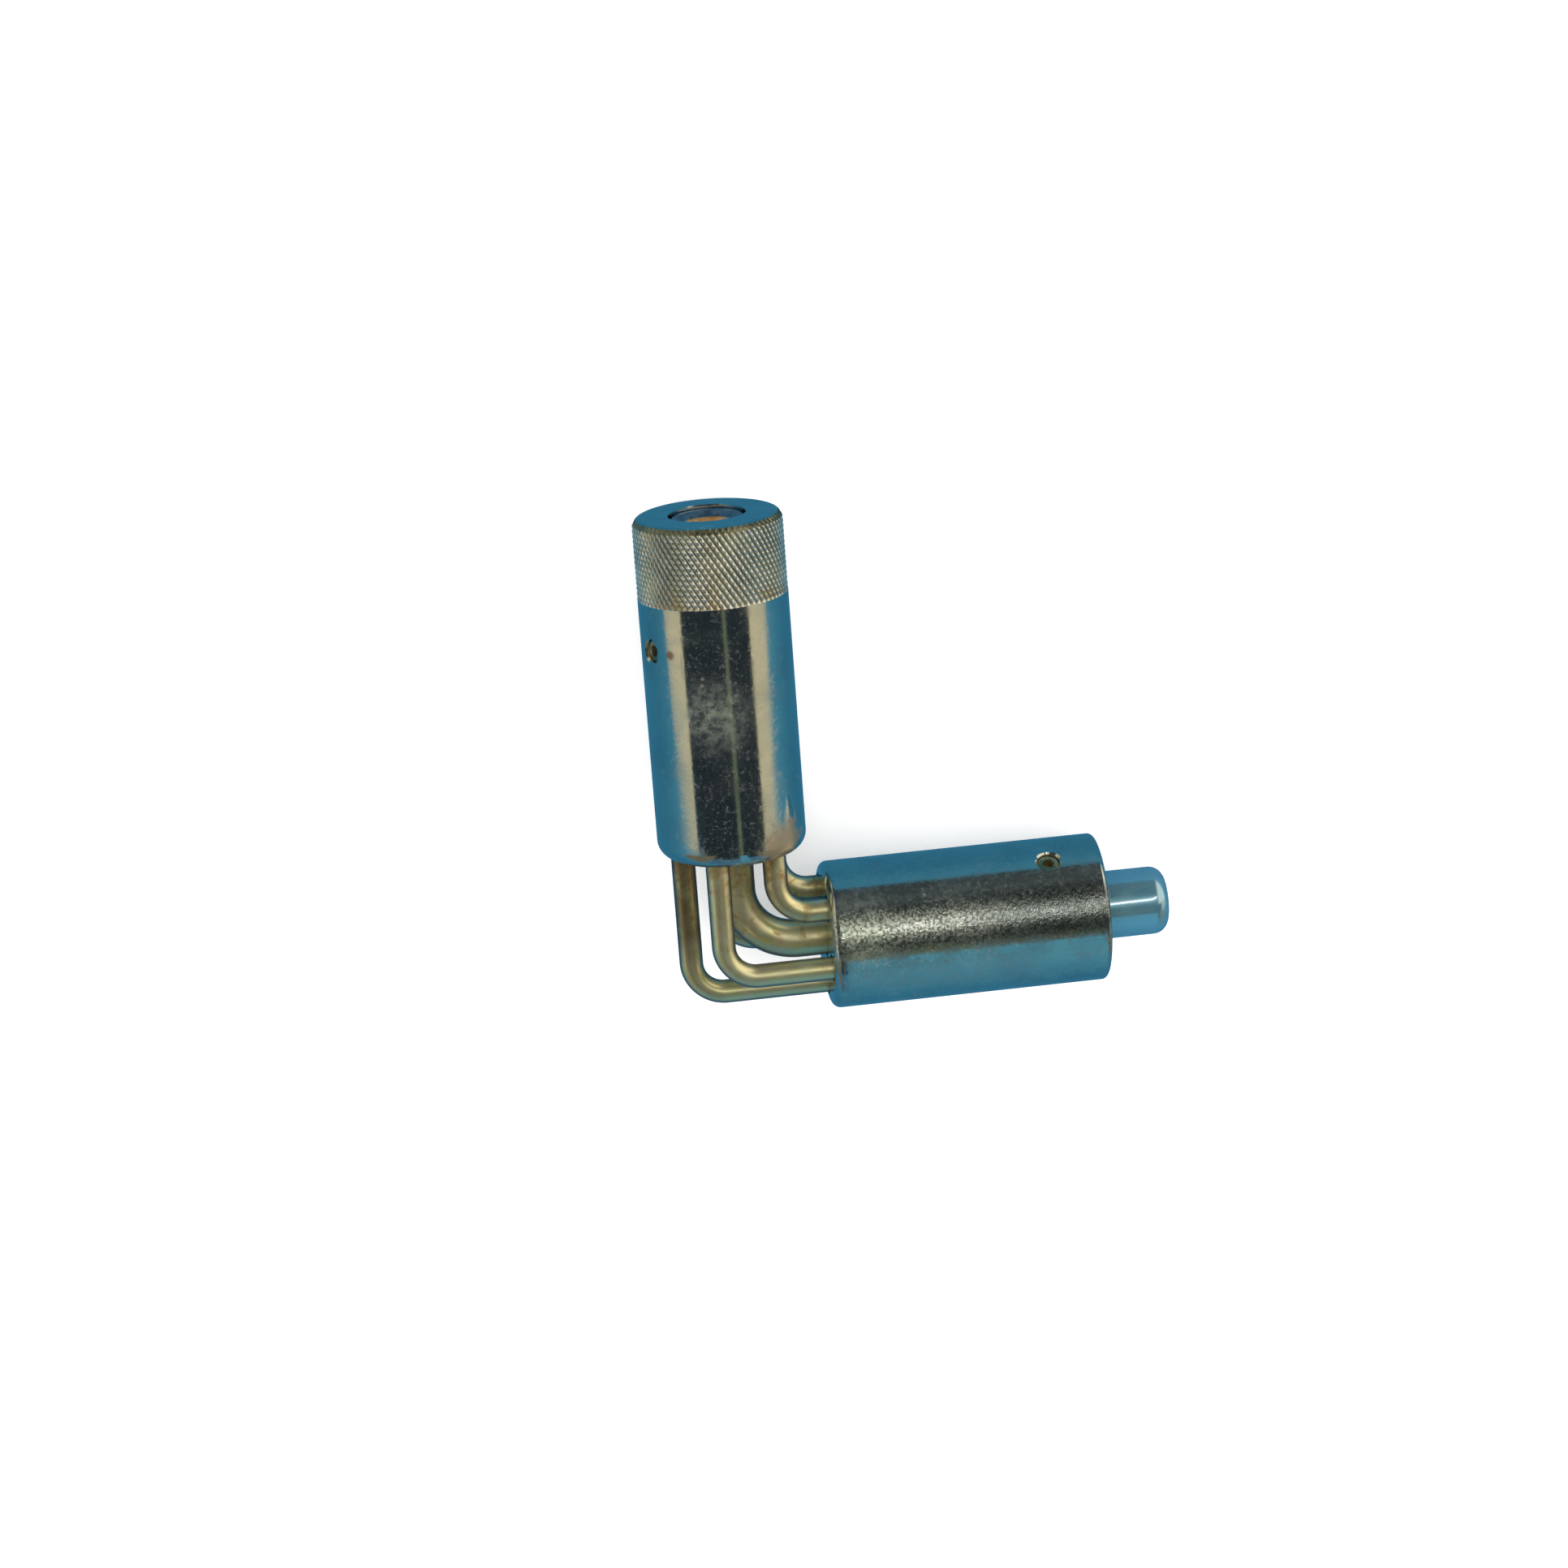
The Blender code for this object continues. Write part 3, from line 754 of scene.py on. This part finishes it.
def make_bright_plate(name, stain_spot, stain_amount, coarseness, worn_side, cloud_share, glare_haze_spot):
    """Bright zinc plate on turned steel: clouded and smeared, stained round one spot, and hazed dull round
    another with a pale tint that paints glare.

    Specks lie on the side that faces worn_side. Coarseness, from 0 to 1, adds grain along that side
    and paints shade over it towards the barrel's far end, which dims the highlight there.
    """
    material, g, shader, position = new_metal(name)
    lumps = place_group(g, LUMPS, Position=position, Lump_Size=0.5 * MM, Pit_Size=1.2 * MM, Pit_Share=0.22)
    marks = place_group(g, MARKS, Position=position, Smear_Size=7 * MM, Scratch_Gap=0.35 * MM)
    stain = place_group(
        g, STAIN, Position=position, Distance=g.against('DISTANCE', position, stain_spot),
        Reach=6 * MM, Blotch_Size=2 * MM, Amount=stain_amount)["Stain"]
    rust = g.ramp(g.against('DISTANCE', position, RUST_SPOT), 0.9 * MM, 0.3 * MM)

    reach = g.against('DOT_PRODUCT', position, worn_side)
    coarse = g.ramp(reach, BARREL_RADIUS * 0.92, BARREL_RADIUS * 0.98)
    specked = g.ramp(reach, BARREL_RADIUS * 0.78, BARREL_RADIUS * 0.9)
    dust = g.product(
        g.ramp(g.noise(position, 2100.0, 3.0, 0.65, 0.4), 0.56, 0.68),
        g.ramp(g.noise(position, 330.0, 2.0), 0.40, 0.58, 0.25, 1.0),
        0.55,
    )
    specks = g.product(g.largest(lumps["Pits"], dust), specked)
    # A dull hazy patch round the given spot; its pale tint is painted glare
    haze_and_glare = g.product(
        g.ramp(g.noise(position, 900.0, 4.0, 0.7), 0.35, 0.65, 0.15, 1.0),
        g.ramp(g.against('DISTANCE', position, glare_haze_spot), 7 * MM, 0.5 * MM),
    )
    uneven = g.total(g.noise(position, 1700.0, 3.0, 0.6, 0.3), (g.noise(position, 420.0, 2.0), 0.5))
    clouds = g.ramp(uneven, 0.98 - cloud_share, 1.0 - cloud_share / 2)
    dark_grains = g.product(g.ramp(g.noise(position, 2500.0, 2.0, 0.6), 0.55, 0.42), coarse)
    # Painted shade: the coarse side darkens towards the barrel's far end, so its highlight fades there
    far_end_shade = g.product(g.ramp(g.part(position, "Z"), INPUT_FACE + 16 * MM, INPUT_FACE + 30 * MM), coarse)

    tone = g.ramp(g.noise(position, 160.0, 3.0), 0.35, 0.65)
    colour = g.painted(
        g.mix(tone, ZINC_GREY, ZINC_PALE),
        (clouds, 0.35, ZINC_CLOUD),
        (marks["Smear"], 0.3, ZINC_SMEAR),
        (haze_and_glare, 1.0, ZINC_HAZE_AND_GLARE),
        (stain, 0.75, ZINC_STAIN),
        (rust, 0.8, ZINC_RUST),
        (dark_grains, 0.8 * coarseness, ZINC_GRAIN),
        (far_end_shade, 0.72 * coarseness, ZINC_FAR_END_SHADE),
    )
    g.join(colour, shader.inputs["Base Color"])
    g.join(g.total(1.0, (specks, -0.17), (haze_and_glare, -0.19), (stain, -0.2)), shader.inputs["Metallic"])
    rough = g.total(0.10, (marks["Smear"], 0.07), (clouds, 0.10), (marks["Scratches"], 0.12), (stain, 0.2))
    g.join(rough, shader.inputs["Roughness"])
    grain = g.product(g.noise(position, 2000.0, 3.0, 0.66, 0.2), coarse)
    grain_rise = coarseness * PLATE_GRAIN_DEPTH / PLATE_LUMP_DEPTH
    height = g.total(lumps["Height"], (marks["Scratches"], -0.06), (grain, grain_rise))
    bumped(g, shader, height, PLATE_LUMP_DEPTH)
    return material


def make_knurl_plate():
    """The same plate on the knurl: rubbed bright on the crests, paler still towards the knurl's bottom as a
    painted highlight, and yellowed in the grooves under painted shade.
    """
    material, g, shader, position = new_metal("knurl_plate")
    lumps = place_group(g, LUMPS, Position=position, Lump_Size=0.3 * MM, Pit_Size=0.4 * MM, Pit_Share=0.3)
    x, y, height = (g.part(position, axis) for axis in "XYZ")
    reach = g.math('SQRT', g.math('ADD', g.product(x, x), g.product(y, y)))
    crest = g.ramp(reach, BARREL_RADIUS - KNURL_DEEP_CUT, BARREL_RADIUS - KNURL_DEEP_CUT * 0.25)
    cloud = g.ramp(g.noise(position, 220.0, 4.0, 0.6), 0.4, 0.62)
    # Painted highlight: the crests turn paler towards the knurl's bottom
    lower_crest_highlight = g.ramp(height, KNURL_BOTTOM + KNURL_LENGTH * 0.3, KNURL_BOTTOM)
    patch = g.ramp(g.noise(position, 430.0, 3.0, 0.6, 0.5), 0.42, 0.60)
    stain = place_group(
        g, STAIN, Position=position, Distance=g.math('ABSOLUTE', g.math('SUBTRACT', height, KNURL_BOTTOM)),
        Reach=4.5 * MM, Blotch_Size=2.4 * MM, Amount=0.3)["Stain"]
    face = g.painted(
        g.mix(cloud, CREST_DARK, CREST_LIGHT), (lower_crest_highlight, 0.8, CREST_PAINTED_HIGHLIGHT), (patch, 0.42, CREST_PATCH))
    # Painted shade: dark olive in the grooves, the bright face colour on the crests
    colour = g.mix(crest, g.mix(cloud, GROOVE_SHADE_DARK, GROOVE_SHADE_LIGHT), face)
    g.join(g.painted(colour, (stain, 0.6, KNURL_STAIN)), shader.inputs["Base Color"])
    shader.inputs["Metallic"].default_value = 0.9
    g.join(g.total(0.20, (cloud, 0.10)), shader.inputs["Roughness"])
    bumped(g, shader, lumps["Height"], 0.03 * MM)
    return material


def make_satin_steel():
    """The shank: ground round and round, under a clear blue passivated film. Its strong blue colour also
    paints the blue sheets' reflection.
    """
    material, g, shader, position = new_metal("satin_shank")
    smear = place_group(g, MARKS, Position=position, Smear_Size=4 * MM, Scratch_Gap=0.5 * MM)["Smear"]
    rings = g.noise(g.stretched(position, (0.02, 0.02, 1.0)), 9000.0, 3.0, 0.6)
    # Partly the film's own blue, partly a painted reflection of the blue sheets
    colour = g.mix(g.noise(position, 300.0, 3.0), FILM_AND_REFLECTION_DARK, FILM_AND_REFLECTION_LIGHT)
    g.join(g.painted(colour, (smear, 0.4, FILM_SMEAR)), shader.inputs["Base Color"])
    shader.inputs["Metallic"].default_value = 0.7
    shader.inputs["Coat Weight"].default_value = 1.0
    shader.inputs["Coat IOR"].default_value = 3.2
    shader.inputs["Coat Roughness"].default_value = 0.12
    g.join(g.total(0.24, (smear, 0.1)), shader.inputs["Roughness"])
    bumped(g, shader, rings, 0.006 * MM)
    return material


def make_gold_zinc():
    """Yellow zinc on the bent rods: golden with a greenish and rosy bloom, and a painted dark shade at its
    glancing edges.

    It is browned near the output barrel, and blotched darker brown on the leg furthest out.
    """
    material, g, shader, position = new_metal("gold_zinc")
    lumps = place_group(g, LUMPS, Position=position, Lump_Size=1.6 * MM, Pit_Size=0.7 * MM, Pit_Share=0.0)
    smear = place_group(g, MARKS, Position=position, Smear_Size=4 * MM, Scratch_Gap=0.4 * MM)["Smear"]
    x, y = (g.part(position, axis) for axis in "XY")
    stain = place_group(
        g, STAIN, Position=position, Distance=g.math('ABSOLUTE', g.math('SUBTRACT', y, OUTPUT_FACE)),
        Reach=20 * MM, Blotch_Size=2.6 * MM, Amount=0.26)["Stain"]
    bloom = g.ramp(g.noise(position, 330.0, 3.0, 0.6, 0.4), 0.35, 0.65)
    # Darker brown blotches on the leg furthest out of the elbow
    outer_leg_darkening = g.product(
        g.ramp(x, -4.2 * MM, -5.6 * MM),
        g.ramp(y, -4 * MM, 3 * MM),
        g.ramp(g.noise(position, 260.0, 4.0, 0.6), 0.3, 0.6, 0.45, 0.85),
    )
    # Painted shade: the colour turns dark blue-grey where the rod is seen edge-on
    painted_edge_shade = g.ramp(g.add("ShaderNodeLayerWeight").outputs["Facing"], 0.28, 0.66)
    colour = g.painted(
        g.mix(bloom, GOLD_GREENISH, GOLD_ROSY),
        (smear, 0.4, GOLD_SMEAR),
        (stain, 0.85, GOLD_STAIN),
        (outer_leg_darkening, 1.0, GOLD_OUTER_LEG_BROWN),
        (painted_edge_shade, 0.85, GOLD_PAINTED_EDGE_SHADE),
    )
    g.join(colour, shader.inputs["Base Color"])
    shader.inputs["Metallic"].default_value = 0.96
    g.join(g.total(0.31, (smear, 0.10), (stain, 0.2)), shader.inputs["Roughness"])
    bumped(g, shader, lumps["Height"], 0.006 * MM)
    return material


def new_hard_steel(name, bump_depth):
    """The start of a hardened steel: slightly rough and pitted, with a cloud mask for its colour."""
    material, g, shader, position = new_metal(name)
    lumps = place_group(g, LUMPS, Position=position, Lump_Size=0.5 * MM, Pit_Size=0.5 * MM, Pit_Share=0.35)
    cloud = g.ramp(g.noise(position, 500.0, 4.0, 0.6), 0.38, 0.62)
    g.join(g.total(0.3, (cloud, 0.12)), shader.inputs["Roughness"])
    bumped(g, shader, lumps["Height"], bump_depth)
    return material, g, shader, position, cloud


def make_clouded_steel(name, dark, light):
    material, g, shader, position, cloud = new_hard_steel(name, 0.03 * MM)
    g.join(g.mix(cloud, dark, light), shader.inputs["Base Color"])
    return material


def make_socket_steel():
    """The hex sleeve: blue-black at the mouth as a painted dark reflection, straw and amber inside as a
    painted glint.
    """
    material, g, shader, position, cloud = new_hard_steel("socket_steel", 0.02 * MM)
    # Painted light: a dark blue reflection at the mouth, an amber glint deeper in
    mouth = g.ramp(g.part(position, "Z"), SOCKET_TOP - 1.1 * MM, SOCKET_TOP - 0.7 * MM)
    inside = g.mix(cloud, PAINTED_GLINT_AMBER_DARK, PAINTED_GLINT_AMBER_LIGHT)
    painted_mouth_reflection = g.mix(cloud, PAINTED_MOUTH_REFLECTION_DARK, PAINTED_MOUTH_REFLECTION_LIGHT)
    g.join(g.mix(mouth, inside, painted_mouth_reflection), shader.inputs["Base Color"])
    shader.inputs["Metallic"].default_value = 0.6
    return material


# ---------------------------------------------------------------- put together

def fit(piece, material, body, node):
    """Puts a finished piece on its body, in place of the CAD's node."""
    piece.data.materials.clear()
    piece.data.materials.append(material)
    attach(piece, body)
    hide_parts(node)


output_plate = make_bright_plate(
    "output_bright_plate", OUTPUT_STAIN_SPOT, stain_amount=0.6, coarseness=0.0, worn_side=(-0.09, -0.996, 0),
    cloud_share=0.14, glare_haze_spot=OUTPUT_GLARE_HAZE_SPOT)
input_plate = make_bright_plate(
    "input_bright_plate", INPUT_STAIN_SPOT, stain_amount=0.1, coarseness=1.0, worn_side=(0.31, 0.95, 0),
    cloud_share=0.30, glare_haze_spot=INPUT_GLARE_HAZE_SPOT)
gold_zinc = make_gold_zinc()
brassy_screw = make_clouded_steel("brassy_screw", STRAW_DARK, STRAW_LIGHT)
magnet_nickel = make_clouded_steel("magnet_nickel", NICKEL_DARK, NICKEL_LIGHT)

output_body, knurl = make_output_barrel()
fit(output_body, output_plate, "output", "output_barrel")
fit(knurl, make_knurl_plate(), "output", "output_barrel")
fit(make_input_barrel(), input_plate, "input", "input_barrel")
fit(make_shank(), make_satin_steel(), "input", "drive_shank")
fit(make_socket(), make_socket_steel(), "output", "bit_socket")
fit(make_magnet(), magnet_nickel, "output", "bit_magnet")
fit(make_screw("output_set_screw", "output_grub_screw", OUTPUT_FRAME), brassy_screw,
    "output", "output_set_screw")
fit(make_screw("input_set_screw", "input_grub_screw", INPUT_FRAME), brassy_screw,
    "input", "input_set_screw")
fit(make_core(), gold_zinc, "elbow", "core_pin")
for pin_node in DRIVE_PINS:
    pin_body = "pin_" + pin_node.rsplit("_", 1)[1]
    fit(make_drive_rod(pin_node), gold_zinc, pin_body, pin_node)


# ---------------------------------------------------------------- studio

def make_floor():
    """A pale board just under the part, lit a little from within so that it stays white."""
    size = FLOOR_HALF_SIZE
    corners = [(-size, -size, 0), (size, -size, 0), (size, size, 0), (-size, size, 0)]
    floor = mesh_piece("pale_floor", corners, [(0, 1, 2, 3)], Matrix.Translation((0, 0, -FLOOR_DROP)))
    material = bpy.data.materials.new("pale_board")
    material.use_nodes = True
    g = Graph(material.node_tree)
    shader = material.node_tree.nodes["Principled BSDF"]
    grain = g.noise(g.add("ShaderNodeTexCoord").outputs["Object"], 40.0, 3.0)
    g.join(g.mix(grain, BOARD_DARK, BOARD_LIGHT), shader.inputs["Base Color"])
    shader.inputs["Roughness"].default_value = 0.9
    shader.inputs["Specular IOR Level"].default_value = 0.1
    shader.inputs["Emission Color"].default_value = WHITE
    shader.inputs["Emission Strength"].default_value = 0.32
    floor.data.materials.append(material)
    floor.visible_glossy = False


class Around:
    """The direction that a mirror ray leaves in, and masks of where it can go."""

    def __init__(self, g):
        self.g = g
        self.direction = g.add("ShaderNodeTexCoord").outputs["Generated"]
        self.x, self.y, self.z = (g.part(self.direction, axis) for axis in "XYZ")
        upward = g.math('MAXIMUM', self.z, 0.05)
        # Slopes away from straight up, towards +Y and towards +X
        self.tilt = g.math('DIVIDE', self.y, upward)
        self.lean = g.math('DIVIDE', self.x, upward)
        self.off_axis = g.math('ABSOLUTE', self.x)
        # Left and right of the gap that the output barrel's front faces
        self.outside = g.largest(g.ramp(self.x, 0.07, 0.03), g.ramp(self.x, 0.2, 0.3))
        self.low_front = g.product(g.ramp(self.y, -0.33, -0.40), g.ramp(self.off_axis, 0.42, 0.55))

    def beyond(self, plane, softness=0.02):
        """Mask of the directions on the positive side of a plane through the eye."""
        return self.g.ramp(self.g.against('DOT_PRODUCT', self.direction, plane), -softness, softness)

    def past(self, towards, angle):
        """Mask of the directions more than an angle from straight up, leaning towards (x, y)."""
        a = math.radians(angle)
        return self.beyond((towards[0] * math.cos(a), towards[1] * math.cos(a), -math.sin(a)))


def dark_room(g, around):
    colour = g.mix(g.ramp(around.tilt, 0.0, 1.6), ROOM, ROOM_HIGH)
    colour = g.mix(g.ramp(around.tilt, -0.12, -0.22), colour, ROOM_LOW)
    return g.mix(g.product(around.outside, g.ramp(around.tilt, 1.2, 2.2)), colour, ROOM_SIDES)


def with_window(g, around, colour):
    """A window overhead with leaves before it, and a dimmer pane a little nearer the front."""
    leaves = g.ramp(g.noise(around.direction, 26.0, 3.0, 0.6), 0.44, 0.58, 0.1, 1.0)
    glow = g.product(
        g.ramp(around.tilt, 1.0, 0.48), g.ramp(around.tilt, -0.13, 0.30),
        g.ramp(around.lean, -0.35, 0.0), g.ramp(around.lean, 0.152, 0.116, 0.04, 1.0),
        leaves,
    )
    pane = g.product(
        g.ramp(around.lean, 0.085, 0.10), g.ramp(around.lean, 0.21, 0.18),
        g.ramp(around.tilt, -0.10, -0.18), g.ramp(around.tilt, -0.65, -0.60),
    )
    return g.mix(pane, g.mix(glow, colour, WINDOW), DIM_PANE)


def with_walls(g, around, colour):
    """Pale walls on both sides, shaded low in front, and sunny at the back on the right."""
    walls = g.largest(around.past(RIGHT, 47.5), around.past(LEFT, 59))
    colour = g.mix(g.product(walls, g.ramp(around.off_axis, 0.35, 0.5)), colour, PALE_WALL)
    colour = g.mix(around.low_front, colour, SHADED_WALL)
    sunny = g.product(
        g.ramp(around.y, -0.05, 0.15), g.ramp(around.x, 0.3, 0.5), g.ramp(around.z, -0.1, 0.1))
    return g.mix(sunny, colour, SUNNY_WALL)


def with_sheets(g, around, colour):
    """Blue paper standing in front, on both sides and behind, and lying under the part."""
    x, y, z = around.x, around.y, around.z
    ahead = g.ramp(around.off_axis, 0.55, 0.45)
    colour = g.mix(g.product(around.past(FRONT, 50), ahead), colour, SHADED_SHEET)

    in_front = g.product(around.past(FRONT, 29), g.ramp(x, 0.085, 0.105), g.ramp(x, 0.30, 0.24))
    on_left = g.product(around.beyond((0.23, -0.947, -0.22)), g.ramp(x, -0.66, -0.78))
    on_right = g.product(around.beyond((-0.148, -0.914, -0.378)), g.ramp(x, 0.56, 0.68))
    at_sides = g.product(g.largest(on_left, on_right), g.math('SUBTRACT', 1.0, around.low_front))
    level = g.largest(around.past(RIGHT, 88), around.past(LEFT, 88))
    at_elbow = g.product(
        around.beyond((-0.971, 0.052, -0.233), 0.008), g.ramp(x, 0.03, 0.07), g.ramp(x, 0.35, 0.25))
    behind = g.largest(at_elbow, g.product(around.past(BACK, 105), around.outside))
    behind = g.product(behind, g.ramp(y, -0.02, 0.02))
    below = g.product(g.ramp(z, -0.25, -0.35), g.largest(around.outside, g.ramp(y, 0.1, 0.0)))

    sheets = g.largest(in_front, at_sides, level, behind, below)
    return g.mix(sheets, colour, g.mix(g.ramp(z, -0.6, 0.8), SHEET_LOW, SHEET_HIGH))


def make_surroundings():
    """White for the eye and for soft light.

    Bright metal mirrors a dark room with a window, pale walls and sheets of blue paper.
    """
    world = bpy.data.worlds.new("studio")
    bpy.context.scene.world = world
    world.use_nodes = True
    world.node_tree.nodes.clear()
    g = Graph(world.node_tree)
    around = Around(g)
    colour = dark_room(g, around)
    colour = with_window(g, around, colour)
    colour = with_walls(g, around, colour)
    colour = with_sheets(g, around, colour)

    mirrored = g.add("ShaderNodeBackground")
    g.join(colour, mirrored.inputs["Color"])
    soft = g.add("ShaderNodeBackground")
    soft.inputs["Color"].default_value = WHITE
    soft.inputs["Strength"].default_value = 1.35
    chosen = g.add("ShaderNodeMixShader")
    g.join(g.add("ShaderNodeLightPath").outputs["Is Glossy Ray"], chosen.inputs[0])
    g.join(soft.outputs[0], chosen.inputs[1])
    g.join(mirrored.outputs[0], chosen.inputs[2])
    g.join(chosen.outputs[0], g.add("ShaderNodeOutputWorld").inputs[0])


def make_tube_lamp(name, lean, tilt_low, tilt_high, width, distance, power):
    """A tube light overhead, as long as its two tilts towards +Y make it. Angles are degrees."""
    middle_tilt = (tilt_low + tilt_high) / 2
    towards = Vector((math.tan(math.radians(lean)), math.tan(math.radians(middle_tilt)), 1)).normalized()
    light = bpy.data.lights.new(name, 'AREA')
    light.shape = 'RECTANGLE'
    light.size = width
    light.size_y = distance * math.radians(tilt_high - tilt_low)
    light.energy = power
    lamp = bpy.data.objects.new(name, light)
    lamp.location = ELBOW + towards * distance
    lamp.rotation_euler = towards.to_track_quat('Z', 'Y').to_euler()
    lamp.visible_camera = False
    bpy.context.scene.collection.objects.link(lamp)


def make_camera():
    """Looks down on the part from beyond the output barrel, with that barrel's end at the top."""
    azimuth, elevation, lean = (math.radians(a) for a in (VIEW_AZIMUTH, VIEW_ELEVATION, VIEW_LEAN))
    ahead = Vector((
        math.sin(azimuth) * math.cos(elevation),
        -math.sin(elevation),
        -math.cos(azimuth) * math.cos(elevation),
    ))
    level = Vector((math.cos(azimuth), 0, math.sin(azimuth)))
    up = level.cross(ahead)
    side = level * math.cos(lean) - up * math.sin(lean)
    top = level * math.sin(lean) + up * math.cos(lean)
    data = bpy.data.cameras.new("view")
    data.sensor_width = SENSOR_WIDTH
    data.lens = LENS_LENGTH
    camera = bpy.data.objects.new("view", data)
    place = Matrix((side, top, -ahead)).transposed().to_4x4()
    place.translation = ELBOW + VIEW_FROM_ELBOW
    camera.matrix_world = place
    bpy.context.scene.collection.objects.link(camera)
    bpy.context.scene.camera = camera


make_floor()
make_surroundings()
make_tube_lamp(
    "tube_overhead", lean=16.5, tilt_low=9, tilt_high=30, width=0.020, distance=0.6, power=0.10)
make_camera()
bpy.context.scene.view_settings.view_transform = 'Standard'
